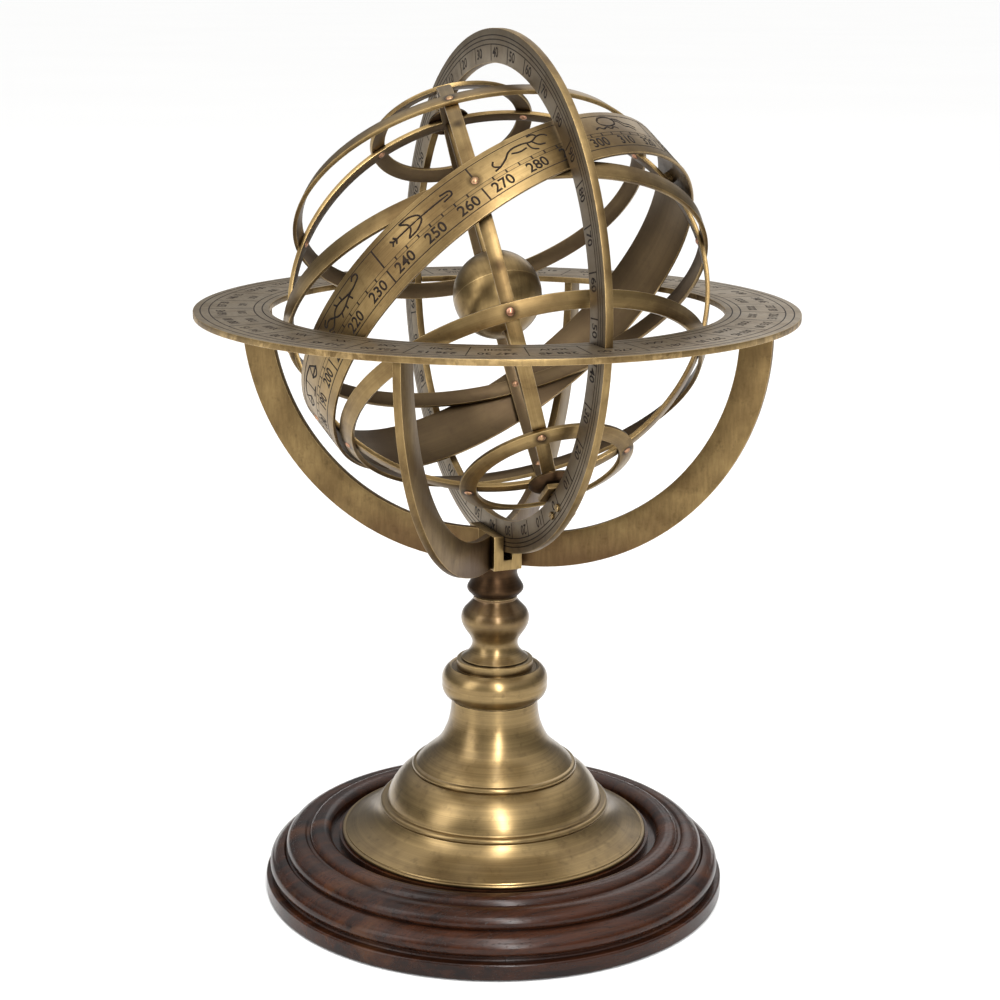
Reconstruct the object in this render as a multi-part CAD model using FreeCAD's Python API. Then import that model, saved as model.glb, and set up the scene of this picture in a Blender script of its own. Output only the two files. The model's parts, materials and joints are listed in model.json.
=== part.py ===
import FreeCAD, Part
import math
import os

# Armillary sphere on a turned stand, built as separate solids.
# Frame: +Z up, origin at the centre of the underside of the felt pad on the floor.
# The meridian ring stands in the YZ plane; the north pole of the cage leans towards +Y.
# All lengths in millimetres, all angles in degrees.

# ---- clearances ----
running_gap = 0.3      # between faces of different bodies that slide past each other
bore_gap = 0.05        # radial play of a shaft or rivet in its hole
bolt_gap = 0.2         # radial play of the tie rod in the stem
strap_gap = 0.08       # between straps that cross, bridged by their rivets
groove_step = 0.4      # step of the small turned fillets

# ---- turned wooden base ----
base_radius = 109.8
base_bottom = 0.5      # the felt holds the wood this far off the floor
seat_height = 27.0     # top of the wood where the brass foot stands
base_bore_gap = 0.6
counterbore_radius = 14.0
counterbore_top = 14.0

# ---- felt pad ----
felt_inset = 9.8       # felt edge inside the edge of the wood
felt_thickness = 1.5
felt_side_gap = 0.3

# ---- spun brass foot ----
foot_rim_radius = 73.2
foot_rim_gap = 1.4     # dark gap between the rim and the wooden moulding
foot_height = 66.0
foot_wall = 1.8
foot_web = 5.0         # thickness of the closed top of the foot
neck_radius = 20.4

# ---- stem ----
collar_radius = 25.0
collar_height = 20.3
knop_radius = 16.1
baluster_height = 30.7
cap_radius = 13.3
cap_height = 16.0

# ---- cradle hub and tie rod ----
hub_height = 16.3
hub_cheek = 4.9        # wall beside the slot
hub_length = 30.0
slot_floor_height = 4.8
slot_seat_height = 7.7
slot_seat_length = 8.0
hub_thread_depth = 3.6
tie_radius = 3.0
washer_radius = 9.0
washer_thickness = 1.5
nut_flats = 10.0
nut_height = 5.0
tie_tail = 2.0         # tie rod left below the nut

# ---- meridian ring ----
meridian_outer = 118.4
meridian_width = 15.1
meridian_thickness = 3.6

# ---- horizon ring ----
horizon_width = 34.2
horizon_drop = 5.4     # top face below the centre of the sphere
horizon_thickness = 2.8
horizon_chamfer = 0.4

# ---- support arms ----
arm_thickness = 3.7
arm_width = 14.7
arm_turn = 4.0         # turn of the four arms from the diagonals of the cradle
arm_post = 4.8         # straight length under the horizon ring
arm_offset = 14.2      # distance of the centres of both arcs from the axis

# ---- cage of hoops ----
pole_tilt = 40.0       # lean of the polar axis from the vertical
cage_turn = -23.4      # rest position of the cage about the polar axis
cage_gap = 5.0         # between the hoops and the inside of the meridian ring
hoop_thickness = 2.0
hoop_width = 7.7
polar_width = 7.4
colure_width = 6.2
tropic_latitude = 33.2
polar_latitude = 68.5
zodiac_tilt = 21.5
zodiac_width = 25.6
zodiac_thickness = 1.5
zodiac_drop = 3.4      # middle of the band south of its rivets
hoop_chamfer = 0.25
spacer_radius = 3.0

# ---- poles, axis rod and ball ----
rod_radius = 1.6
rod_proud = 0.3        # rod end beyond the bracket foot
boss_radius = 10.0
boss_height = 3.0
bracket_drop = 2.9     # inner face of the bracket foot inside the meridian ring
bracket_foot_thickness = 2.2
bracket_plate = 2.6
bracket_inset = 2.8    # outer end of the bracket inside the edge of the ring
bracket_width = 13.0
bracket_overhang = 3.2
screw_radius = 1.0
screw_head_radius = 1.8
screw_head_height = 1.1
screw_spread = 3.8
screw_tail = 0.9
ball_radius = 20.3
ball_wall = 1.4
bush_wall = 1.6

# ---- rivets ----
rivet_radius = 0.9
rivet_head_radius = 1.7
rivet_head_height = 0.8

# ---- sizes that follow ----
seat_radius = foot_rim_radius + foot_rim_gap
felt_radius = base_radius - felt_inset
foot_top = seat_height + foot_height
collar_top = foot_top + collar_height
baluster_top = collar_top + baluster_height
hub_bottom = baluster_top + cap_height
hub_top = hub_bottom + hub_height
slot_width = meridian_thickness + 2 * running_gap
hub_width = slot_width + 2 * hub_cheek
slot_floor = hub_bottom + slot_floor_height
slot_seat_top = hub_bottom + slot_seat_height
sphere_height = slot_seat_top + running_gap + meridian_outer
meridian_inner = meridian_outer - meridian_width
horizon_inner = meridian_inner
horizon_outer = horizon_inner + horizon_width
horizon_top = sphere_height - horizon_drop
horizon_bottom = horizon_top - horizon_thickness
arm_outer_radius = horizon_bottom - arm_post - hub_bottom
arm_inner_radius = arm_outer_radius - arm_width
cage_outer = meridian_inner - cage_gap
colure_outer = cage_outer - hoop_thickness - strap_gap
colure_inner = colure_outer - hoop_thickness
zodiac_outer = cage_outer + strap_gap + zodiac_thickness
bracket_foot = meridian_inner - bracket_drop
bracket_top = bracket_foot + bracket_foot_thickness
bracket_reach = meridian_outer - bracket_inset
rod_end = bracket_top + rod_proud
bush_radius = rod_radius + bush_wall
screw_radius_from_centre = (meridian_outer + meridian_inner) / 2
stem_bore = tie_radius + bolt_gap
base_bore = tie_radius + base_bore_gap
felt_top = felt_thickness
tie_bottom = counterbore_top - washer_thickness - nut_height - tie_tail
tie_top = hub_bottom + hub_thread_depth

CENTRE = FreeCAD.Vector(0, 0, sphere_height)
Z_AXIS = FreeCAD.Vector(0, 0, 1)
ORIGIN = FreeCAD.Vector(0, 0, 0)


def pt(r, z):
    """Point of a turned outline: r from the axis, z up."""
    return FreeCAD.Vector(r, 0, z)


def line(a, b):
    return Part.makeLine(pt(*a), pt(*b))


def arc(a, mid, b):
    return Part.Arc(pt(*a), pt(*mid), pt(*b)).toShape()


def curve(points):
    """Smooth curve through the points."""
    spline = Part.BSplineCurve()
    spline.interpolate([pt(*p) for p in points])
    return spline.toShape()


def outline(start, steps):
    """Edges of an outline. A step is a point, an arc (mid, end) or a list of points of a smooth curve."""
    edges = []
    here = start
    for step in steps:
        if isinstance(step, list):
            edges.append(curve([here] + step))
            here = step[-1]
        elif isinstance(step[0], tuple):
            edges.append(arc(here, step[0], step[1]))
            here = step[1]
        else:
            edges.append(line(here, step))
            here = step
    return edges


def turned(start, steps):
    """Solid turned about Z from a closed outline."""
    edges = outline(start, steps + [start])
    wire = Part.Wire(edges)
    face = Part.Face(wire)
    return Part.Solid(face.revolve(ORIGIN, Z_AXIS, 360).Shells[0])


def cylinder(radius, bottom, top):
    return Part.makeCylinder(radius, top - bottom, FreeCAD.Vector(0, 0, bottom))


def block(x, y, z):
    """Box between pairs of x, y and z values."""
    corner = FreeCAD.Vector(x[0], y[0], z[0])
    return Part.makeBox(x[1] - x[0], y[1] - y[0], z[1] - z[0], corner)


def hoop(outer, thickness, width, latitude=0.0):
    """Strap bent to lie against a sphere along a parallel of its own Z axis, long edges chamfered."""
    lat = math.radians(latitude)
    out = (math.cos(lat), math.sin(lat))
    along = (-math.sin(lat), math.cos(lat))
    c = hoop_chamfer
    inner = outer - thickness
    half = width / 2
    corners = [(inner, -half + c), (inner + c, -half), (outer - c, -half), (outer, -half + c),
               (outer, half - c), (outer - c, half), (inner + c, half), (inner, half - c)]
    points = []
    for r, s in corners:
        points.append((r * out[0] + s * along[0], r * out[1] + s * along[1]))
    return turned(points[0], points[1:])


def frame_of(x, y, z, origin=ORIGIN):
    """Placement that takes the X, Y and Z axes to the given directions."""
    m = FreeCAD.Matrix(x.x, y.x, z.x, origin.x,
                       x.y, y.y, z.y, origin.y,
                       x.z, y.z, z.z, origin.z,
                       0, 0, 0, 1)
    return FreeCAD.Placement(m)


def placed(shape, placement):
    copy = shape.copy()
    copy.Placement = placement.multiply(copy.Placement)
    return copy


def latitude_frame(radius, longitude, latitude):
    """Placement in the cage frame: Z points out of the sphere at a longitude and latitude."""
    lon = math.radians(longitude)
    lat = math.radians(latitude)
    out = FreeCAD.Vector(math.cos(lat) * math.cos(lon), math.cos(lat) * math.sin(lon), math.sin(lat))
    east = FreeCAD.Vector(-math.sin(lon), math.cos(lon), 0)
    north = out.cross(east)
    return frame_of(east, north, out, out * radius)


def dome_middle(radius, height):
    """Middle point of a spherical cap's outline, from its edge at z = 0 to its top on the axis."""
    ball = (radius ** 2 + height ** 2) / (2 * height)
    half_angle = math.asin(radius / ball) / 2
    return (ball * math.sin(half_angle), ball * math.cos(half_angle) - ball + height)


def rivet(stack):
    """Rivet along Z through a stack of straps, outer head at z = 0 upwards."""
    tail = -stack - bore_gap
    mid_r, mid_z = dome_middle(rivet_head_radius, rivet_head_height)
    profile = [(rivet_head_radius, 0),
               ((mid_r, mid_z), (0, rivet_head_height)),
               (0, tail - rivet_head_height),
               ((mid_r, tail - mid_z), (rivet_head_radius, tail)),
               (rivet_radius, tail)]
    return turned((rivet_radius, 0), profile)


def rivet_hole(stack):
    reach = 1.0
    return cylinder(rivet_radius + bore_gap, -stack - reach, reach)


def group(solids):
    return Part.makeCompound(solids)


def largest(shape):
    return max(shape.Solids, key=lambda s: s.Volume)


# ------------------------------------------------------------------ base, foot and stem
def wood_base():
    r = base_radius
    b = base_bottom
    h = seat_height
    s = seat_radius
    body = turned(
        (0, b),
        [(r - 0.8, b), ((r - 0.2, b + 0.2), (r, b + 0.8)), (r, h - 20.0),
         ((r - 0.3, h - 19.3), (r - 1.0, h - 19.0)),
         (r - 3.8, h - 18.8), (r - 4.4, h - 18.2), (r - 4.4, h - 17.2), ((r - 2.0, h - 14.0), (r - 3.8, h - 10.2)),
         ((r - 5.9, h - 8.4), (r - 8.6, h - 7.5)), (r - 9.6, h - 8.2), (r - 10.6, h - 7.8),
         ((r - 10.0, h - 4.4), (r - 12.2, h - 1.6)), ((r - 15.2, h - 0.1), (r - 18.6, h)),
         (r - 19.6, h - 0.8), (r - 20.8, h - 0.6), ((s + 13.0, h + 1.5), (s + 9.8, h + 2.4)),
         ((s + 5.6, h + 1.6), (s + 3.6, h - 1.8)), (s + 3.4, h - 3.5), (s, h - 3.5), (s, h), (0, h)])
    body = body.cut(cylinder(felt_radius + felt_side_gap, 0, felt_top))
    body = body.cut(cylinder(counterbore_radius, 0, counterbore_top))
    body = body.cut(cylinder(base_bore, 0, seat_height + 1))
    return largest(body)


def felt_pad():
    return cylinder(felt_radius, 0, felt_thickness)


def brass_foot():
    z = seat_height
    rim = foot_rim_radius
    n = neck_radius
    t = foot_top
    w = foot_wall
    neck = [(n + 11.7, z + 39.8), (n + 6.4, z + 44.8), (n + 3.5, z + 49.8), (n + 1.6, z + 54.8),
            (n + 0.6, t - 6.2), (n, t)]
    dome = [(50.3, z + 19.9), (47.6, z + 24.8), (43.9, z + 29.0), (39.4, z + 31.9)]
    inside_neck = [(n - w, t - 11.0), (n + 3.8 - w, z + 46.0), (n + 9.6 - w, z + 39.5), (n + 17.6 - w, z + 31.4)]
    inside_dome = [(43.4 - w, z + 27.4), (47.2 - w, z + 23.0), (50.6 - w, z + 15.6)]
    return turned(
        (stem_bore, t),
        [(stem_bore, t - foot_web), (n - w, t - foot_web), inside_neck, inside_dome,
         [(57.0 - w, z + 7.8), (rim - 9.2, z + 3.2), (rim - 3.2, z)],
         (rim - 0.8, z), ((rim, z + 0.9), (rim - 0.8, z + 1.8)), (rim - 1.6, z + 1.8),
         (rim - 1.8, z + 2.2), [(rim - 9.2, z + 5.4), (58.0, z + 9.0), (54.4, z + 13.4)],
         ((54.9, z + 15.0), (53.6, z + 16.2)), (51.6, z + 16.2), (51.2, z + 16.6), dome,
         (38.8, z + 32.0), ((39.3, z + 33.4), (38.4, z + 34.6)), (37.4, z + 34.8), neck])


def stem_collar():
    r = collar_radius
    b = foot_top
    foot = neck_radius - 0.6
    return turned(
        (stem_bore, b),
        [(foot, b), (foot, b + groove_step),
         ((r - 1.4, b + 3.0), (r, b + 8.6)), ((r - 0.8, b + 13.8), (r - 3.6, b + 16.7)),
         (r - 4.6, b + 16.5), (r - 5.4, b + 15.9), (r - 6.9, b + 15.9), (r - 6.9, collar_top - groove_step),
         (r - 7.3, collar_top), (stem_bore, collar_top)])


def stem_baluster():
    k = knop_radius
    b = collar_top
    top = baluster_top
    flare = k - 1.1
    waist = k - 5.3
    return turned(
        (stem_bore, b),
        [(flare, b), (flare, b + groove_step), (flare + 0.9, b + 0.6),
         [(flare - 0.2, b + 1.5), (waist + 1.7, b + 3.6), (waist + 0.3, b + 6.1), (waist, b + 8.0),
          (waist + 0.8, b + 10.7), (waist + 2.7, b + 13.6), (k - 0.9, b + 16.4), (k, b + 19.9),
          (k - 0.8, b + 23.4), (k - 2.9, top - 4.7), (waist + 0.4, top - 2.5), (waist - 0.5, top - 1.2)],
         (waist - 0.5, top), (stem_bore, top)])


def stem_cap():
    b = baluster_top
    r = cap_radius
    return turned(
        (stem_bore, b),
        [(r - 3.6, b), (r - 3.6, b + groove_step), (r - 2.1, b + 1.0), (r - 1.0, b + 2.2),
         ((r, b + 4.0), (r - 0.3, b + 5.4)),
         [(r - 1.6, b + 7.6), (r - 2.7, b + 9.9), (r - 3.0, b + 11.6), (r - 2.5, b + 14.0), (r - 2.1, hub_bottom)],
         (stem_bore, hub_bottom)])


def hex_prism(flats, bottom, top):
    corner = flats / math.sqrt(3)
    points = []
    for i in range(7):
        a = math.radians(60 * i)
        points.append(FreeCAD.Vector(corner * math.cos(a), corner * math.sin(a), bottom))
    face = Part.Face(Part.makePolygon(points))
    return face.extrude(FreeCAD.Vector(0, 0, top - bottom))


def tie_rod():
    return cylinder(tie_radius, tie_bottom, tie_top)


def tie_washer():
    top = counterbore_top
    ring = cylinder(washer_radius, top - washer_thickness, top)
    return ring.cut(cylinder(tie_radius + bore_gap, top - 2 * washer_thickness, top + 1))


def tie_nut():
    top = counterbore_top - washer_thickness
    body = hex_prism(nut_flats, top - nut_height, top)
    return body.cut(cylinder(tie_radius + bore_gap, top - 2 * nut_height, top + 1))


# ------------------------------------------------------------------ cradle, arms and horizon
def hub_block():
    half_w = hub_width / 2
    half_l = hub_length / 2
    return block((-half_w, half_w), (-half_l, half_l), (hub_bottom, hub_top))


def cradle_hub():
    body = hub_block()
    half_slot = slot_width / 2
    far = hub_length
    slot = block((-half_slot, half_slot), (-far, far), (slot_floor, hub_top + 1))
    half_seat = slot_seat_length / 2
    seat = block((-half_slot, half_slot), (-half_seat, half_seat), (slot_floor - 1, slot_seat_top))
    body = body.cut(slot).fuse(seat)
    body = body.cut(cylinder(tie_radius + bore_gap, hub_bottom - 1, tie_top)).removeSplitter()
    return largest(body)


def arm(angle):
    """Support arm cut from plate, running out from the hub and up to the horizon ring."""
    start = 0.0
    outer_x = arm_offset + arm_outer_radius
    inner_x = arm_offset + arm_inner_radius
    inner_height = hub_top + arm_inner_radius
    diag = math.sqrt(0.5)
    outer_height = hub_bottom + arm_outer_radius
    low = (arm_offset, hub_bottom)
    high = (outer_x, outer_height)
    outer_mid = (arm_offset + arm_outer_radius * diag, outer_height - arm_outer_radius * diag)
    inner_mid = (arm_offset + arm_inner_radius * diag, inner_height - arm_inner_radius * diag)
    edges = outline(
        (start, low[1]),
        [low, (outer_mid, high), (outer_x, horizon_bottom), (inner_x, horizon_bottom),
         (inner_x, inner_height), (inner_mid, (arm_offset, hub_top)), (start, hub_top), (start, low[1])])
    face = Part.Face(Part.Wire(edges))
    face.translate(FreeCAD.Vector(0, -arm_thickness / 2, 0))
    body = face.extrude(FreeCAD.Vector(0, arm_thickness, 0))
    body.rotate(ORIGIN, Z_AXIS, angle)
    return largest(body.cut(hub_block()))


def horizon_ring():
    ring = cylinder(horizon_outer, horizon_bottom, horizon_top)
    ring = ring.cut(cylinder(horizon_inner, horizon_bottom - 1, horizon_top + 1))
    rims = [e for e in ring.Edges if abs(e.Length - 2 * math.pi * horizon_outer) < 0.1]
    ring = ring.makeChamfer(horizon_chamfer, rims)
    half = slot_width / 2
    notch_end = meridian_outer + running_gap
    notch = block((-half, half), (-notch_end, notch_end), (horizon_bottom - 1, horizon_top + 1))
    return largest(ring.cut(notch))


# ------------------------------------------------------------------ meridian ring and its fittings
def upright(shape):
    """Stand a ring built about Z up in the YZ plane about the centre of the sphere: its Z becomes X."""
    x = FreeCAD.Vector(0, 1, 0)
    y = FreeCAD.Vector(0, 0, 1)
    z = FreeCAD.Vector(1, 0, 0)
    return placed(shape, frame_of(x, y, z, CENTRE))


def pole_frame(sign):
    """Placement with Z along the polar axis (+1 north, -1 south) and X across the meridian ring."""
    tilt = math.radians(pole_tilt)
    pole = FreeCAD.Vector(0, math.sin(tilt), math.cos(tilt)) * sign
    across = FreeCAD.Vector(1, 0, 0)
    return frame_of(across, pole.cross(across), pole, CENTRE)


def screw_sites():
    sites = []
    for sign in (1, -1):
        for side in (-1, 1):
            sites.append((sign, side * screw_spread))
    return sites


def screw_hole(offset):
    reach = 4.0
    hole = Part.makeCylinder(screw_radius + bore_gap, 2 * reach + 2 * bracket_plate + meridian_thickness,
                             FreeCAD.Vector(-reach - meridian_thickness, offset, screw_radius_from_centre),
                             FreeCAD.Vector(1, 0, 0))
    return hole


def meridian_ring():
    half = meridian_thickness / 2
    ring = cylinder(meridian_outer, -half, half).cut(cylinder(meridian_inner, -half - 1, half + 1))
    ring = upright(ring)
    for sign, offset in screw_sites():
        ring = ring.cut(placed(screw_hole(offset), pole_frame(sign)))
    return largest(ring)


def pole_bracket(sign):
    face = meridian_thickness / 2
    side = (-bracket_width / 2, bracket_width / 2)
    plate = block((face, face + bracket_plate), side, (bracket_foot, bracket_reach))
    foot = block((-face - bracket_overhang, face + bracket_plate), side, (bracket_foot, bracket_top))
    body = plate.fuse(foot).removeSplitter()
    body = body.cut(cylinder(rod_radius + bore_gap, bracket_foot - 1, bracket_top + 1))
    for offset in (-screw_spread, screw_spread):
        body = body.cut(screw_hole(offset))
    return largest(placed(body, pole_frame(sign)))


def bracket_screw():
    """Slotted screw along Z: head above z = 0, shank through ring and bracket below."""
    length = meridian_thickness + bracket_plate + screw_tail
    rounding = 0.35
    body = turned(
        (0, -length),
        [(screw_radius, -length), (screw_radius, 0), (screw_head_radius, 0),
         (screw_head_radius, screw_head_height - rounding),
         ((screw_head_radius - 0.1, screw_head_height - 0.1), (screw_head_radius - rounding, screw_head_height)),
         (0, screw_head_height)])
    slot_half = 0.2
    slot_depth = 0.5
    wide = 2 * screw_head_radius
    slot = block((-slot_half, slot_half), (-wide, wide), (screw_head_height - slot_depth, screw_head_height + 1))
    return largest(body.cut(slot))


def bracket_screws():
    solids = []
    face = meridian_thickness / 2
    for sign, offset in screw_sites():
        seat = frame_of(FreeCAD.Vector(0, 0, 1), FreeCAD.Vector(0, 1, 0), FreeCAD.Vector(-1, 0, 0),
                        FreeCAD.Vector(-face, offset, screw_radius_from_centre))
        solids.append(placed(placed(bracket_screw(), seat), pole_frame(sign)))
    return group(solids)


def axis_rod():
    return placed(cylinder(rod_radius, -rod_end, rod_end), pole_frame(1))


def ball_half(sign):
    shell = Part.makeSphere(ball_radius).cut(Part.makeSphere(ball_radius - ball_wall))
    keep = block((-2 * ball_radius, 2 * ball_radius), (-2 * ball_radius, 2 * ball_radius), (0, 2 * ball_radius))
    shell = shell.common(keep).cut(cylinder(bush_radius, -1, 2 * ball_radius))
    return largest(placed(shell, pole_frame(sign)))


def ball_bush():
    """Tube that joins both halves of the ball to the axis rod."""
    end = math.sqrt(ball_radius ** 2 - bush_radius ** 2)
    tube = cylinder(bush_radius, -end, end).cut(cylinder(rod_radius, -end - 1, end + 1))
    return placed(tube, pole_frame(1))


# ------------------------------------------------------------------ cage of hoops
def cage_frame():
    """Placement of the cage: Z to the north pole, X to the front crossing of equator and zodiac."""
    tilt = math.radians(pole_tilt)
    turn = math.radians(cage_turn)
    pole = FreeCAD.Vector(0, math.sin(tilt), math.cos(tilt))
    front = FreeCAD.Vector(0, -math.cos(tilt), math.sin(tilt))
    side = FreeCAD.Vector(1, 0, 0)
    x = front * math.cos(turn) + side * math.sin(turn)
    return frame_of(x, pole.cross(x), pole, CENTRE)


def turned_to_colure(ring, longitude):
    """Turn a ring built about Z into a ring through the poles at a longitude of the cage frame."""
    lon = math.radians(longitude)
    x = FreeCAD.Vector(math.cos(lon), math.sin(lon), 0)
    z = FreeCAD.Vector(0, 0, 1)
    return placed(ring, frame_of(x, z, x.cross(z)))


def parallel_latitudes():
    return [0.0, tropic_latitude, -tropic_latitude, polar_latitude, -polar_latitude]


def plain_sites():
    """Longitude and latitude of every rivet that joins one parallel to one colure."""
    sites = []
    for latitude in parallel_latitudes():
        for longitude in (0, 90, 180, 270):
            on_zodiac = latitude == 0.0 and longitude in (0, 180)
            if not on_zodiac:
                sites.append((longitude, latitude))
    return sites


def node_sites():
    """Crossings of equator, zodiac and colure."""
    return [(0, 0.0), (180, 0.0)]


def solstice_sites():
    """Crossings of zodiac and the second colure."""
    return [(90, zodiac_tilt), (270, -zodiac_tilt)]


def cut_rivet_holes(body, sites):
    deep = zodiac_outer - colure_inner
    for longitude, latitude in sites:
        hole = placed(rivet_hole(deep), latitude_frame(zodiac_outer, longitude, latitude))
        body = body.cut(hole)
    return body


def parallel(latitude, width):
    body = hoop(cage_outer, hoop_thickness, width, latitude)
    sites = [s for s in plain_sites() + node_sites() if s[1] == latitude]
    return placed(largest(cut_rivet_holes(body, sites)), cage_frame())


def pole_bore():
    reach = cage_outer + boss_height
    return cylinder(rod_radius + bore_gap, -reach, reach)


def colure(longitude, keep_inner):
    """Ring through both poles, half its thickness cut away where the two colures cross."""
    ring = turned_to_colure(hoop(colure_outer, hoop_thickness, colure_width), longitude)
    middle = colure_outer - hoop_thickness / 2
    half = colure_width / 2
    for sign in (1, -1):
        if keep_inner:
            span = (middle, colure_outer + 1)
        else:
            span = (colure_inner - 1, middle)
        notch = block((-half, half), (-half, half), span)
        notch.rotate(ORIGIN, Z_AXIS, longitude)
        if sign < 0:
            notch.rotate(ORIGIN, FreeCAD.Vector(1, 0, 0), 180)
            notch.rotate(ORIGIN, Z_AXIS, 2 * longitude)
        ring = ring.cut(notch)
    ring = ring.cut(pole_bore())
    near = [s for s in plain_sites() + node_sites() + solstice_sites() if s[0] in (longitude, longitude + 180)]
    return placed(largest(cut_rivet_holes(ring, near)), cage_frame())


def zodiac_frame():
    tilt = math.radians(zodiac_tilt)
    pole = FreeCAD.Vector(0, -math.sin(tilt), math.cos(tilt))
    x = FreeCAD.Vector(1, 0, 0)
    return frame_of(x, pole.cross(x), pole)


def zodiac_band():
    ring = hoop(zodiac_outer, zodiac_thickness, zodiac_width)
    ring.translate(FreeCAD.Vector(0, 0, -zodiac_drop))
    ring = placed(ring, zodiac_frame())
    ring = cut_rivet_holes(ring, node_sites() + solstice_sites())
    return placed(largest(ring), cage_frame())


def zodiac_spacers():
    """Washers that fill the gap between zodiac and colure at the solstices."""
    solids = []
    for longitude, latitude in solstice_sites():
        washer = cylinder(spacer_radius, colure_outer - 1, cage_outer + 1)
        washer = washer.cut(cylinder(rivet_radius + bore_gap, colure_outer - 2, cage_outer + 2))
        washer = placed(washer, latitude_frame(0, longitude, latitude))
        shell = turned_to_colure(hoop(cage_outer, cage_outer - colure_outer, 4 * spacer_radius), 90)
        zodiac_side = placed(hoop(cage_outer, 4.0, 4 * spacer_radius), zodiac_frame())
        washer = washer.common(Part.makeSphere(cage_outer)).cut(Part.makeSphere(colure_outer))
        washer = washer.common(zodiac_side)
        solids.append(placed(largest(washer.common(shell)), cage_frame()))
    return group(solids)


def rivets(sites, outer):
    solids = []
    for longitude, latitude in sites:
        body = placed(rivet(outer - colure_inner), latitude_frame(outer, longitude, latitude))
        solids.append(placed(body, cage_frame()))
    return group(solids)


def pole_boss(sign):
    """Domed boss on the crossing of the colures, its underside hollowed to sit on them."""
    r = boss_radius
    top = colure_outer + boss_height
    rim = math.sqrt(colure_outer ** 2 - r ** 2)
    body = turned(
        (0, rim - 1),
        [(r, rim - 1), (r, rim + 0.8), ((r * 0.75, top - 0.55), (r * 0.4, top)), (0, top)])
    body = body.cut(Part.makeSphere(colure_outer + strap_gap))
    body = body.cut(cylinder(rod_radius + bore_gap, rim - 2, top + 1))
    if sign < 0:
        body.rotate(ORIGIN, FreeCAD.Vector(1, 0, 0), 180)
    return placed(largest(body), cage_frame())


# ------------------------------------------------------------------ write every node
def build():
    nodes = {
        "felt_pad": felt_pad(),
        "wood_base": wood_base(),
        "brass_foot": brass_foot(),
        "stem_collar": stem_collar(),
        "stem_baluster": stem_baluster(),
        "stem_cap": stem_cap(),
        "tie_rod": tie_rod(),
        "tie_washer": tie_washer(),
        "tie_nut": tie_nut(),
        "cradle_hub": cradle_hub(),
        "horizon_ring": horizon_ring(),
        "meridian_ring": meridian_ring(),
        "pole_bracket_north": pole_bracket(1),
        "pole_bracket_south": pole_bracket(-1),
        "bracket_screws": bracket_screws(),
        "axis_rod": axis_rod(),
        "ball_north_half": ball_half(1),
        "ball_south_half": ball_half(-1),
        "ball_bush": ball_bush(),
        "colure_front": colure(0, True),
        "colure_side": colure(90, False),
        "equator_ring": parallel(0.0, hoop_width),
        "tropic_north": parallel(tropic_latitude, hoop_width),
        "tropic_south": parallel(-tropic_latitude, hoop_width),
        "polar_circle_north": parallel(polar_latitude, polar_width),
        "polar_circle_south": parallel(-polar_latitude, polar_width),
        "zodiac_band": zodiac_band(),
        "zodiac_spacers": zodiac_spacers(),
        "hoop_rivets": rivets(plain_sites(), cage_outer),
        "zodiac_rivets": rivets(node_sites() + solstice_sites(), zodiac_outer),
        "pole_boss_north": pole_boss(1),
        "pole_boss_south": pole_boss(-1),
    }
    diagonals = {"arm_front_right": -45, "arm_back_right": 45, "arm_back_left": 135, "arm_front_left": 225}
    for name, angle in diagonals.items():
        nodes[name] = arm(angle + arm_turn)
    return nodes


os.makedirs("parts", exist_ok=True)
for node, shape in build().items():
    shape.exportStep("parts/" + node + ".step")
    print(node, len(shape.Solids), round(shape.Volume, 1), shape.isValid())
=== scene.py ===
import json
import math

import bpy
from bpy.props import FloatProperty, FloatVectorProperty, IntProperty, PointerProperty
from mathutils import Matrix, Vector


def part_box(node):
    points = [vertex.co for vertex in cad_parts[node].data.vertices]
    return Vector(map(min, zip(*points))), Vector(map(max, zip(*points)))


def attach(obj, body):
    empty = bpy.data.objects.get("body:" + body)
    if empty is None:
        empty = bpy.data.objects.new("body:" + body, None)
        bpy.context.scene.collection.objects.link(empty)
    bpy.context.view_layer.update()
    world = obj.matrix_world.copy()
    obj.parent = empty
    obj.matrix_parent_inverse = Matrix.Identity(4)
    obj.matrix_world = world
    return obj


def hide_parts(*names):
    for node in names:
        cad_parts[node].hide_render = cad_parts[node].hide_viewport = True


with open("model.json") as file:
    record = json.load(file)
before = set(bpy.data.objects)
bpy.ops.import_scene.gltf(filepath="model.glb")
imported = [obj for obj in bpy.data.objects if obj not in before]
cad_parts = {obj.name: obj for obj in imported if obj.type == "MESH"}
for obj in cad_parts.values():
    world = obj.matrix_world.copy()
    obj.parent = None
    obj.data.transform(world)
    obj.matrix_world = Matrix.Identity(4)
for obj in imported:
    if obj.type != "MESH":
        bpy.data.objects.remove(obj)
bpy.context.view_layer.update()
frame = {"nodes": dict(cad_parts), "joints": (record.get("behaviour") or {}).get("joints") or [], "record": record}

bl_info = {
    "name": "Armillary sphere",
    "version": (1, 0, 0),
    "blender": (4, 5, 0),
    "location": "3D View > Sidebar > Armillary",
    "description": "Finishes, graduations and fittings of a desk armillary sphere",
    "category": "Object",
}

JOINTS = {joint["name"]: joint for joint in frame["joints"]}
CENTRE = Vector(JOINTS["cage_spin"]["pos_m"])
POLE = Vector(JOINTS["cage_spin"]["axis"]).normalized()
SLOT_OF = {row["node"]: row["material_slot"] for row in frame["record"]["subparts"]}
BODY_OF = {node: body for body, nodes in frame["record"]["behaviour"]["bodies"].items()
           for node in nodes}
MM = 0.001
UV_NAME = "strap"
MATERIALS = {}


def high(node, axis):
    """Highest value of a CAD node along one axis."""
    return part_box(node)[1][axis]


def low(node, axis):
    """Lowest value of a CAD node along one axis."""
    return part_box(node)[0][axis]


# ------------------------------------------------------------------ sizes and colours
def length(text, about, value):
    return FloatProperty(name=text, description=about, default=value, unit="LENGTH", precision=5)


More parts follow.
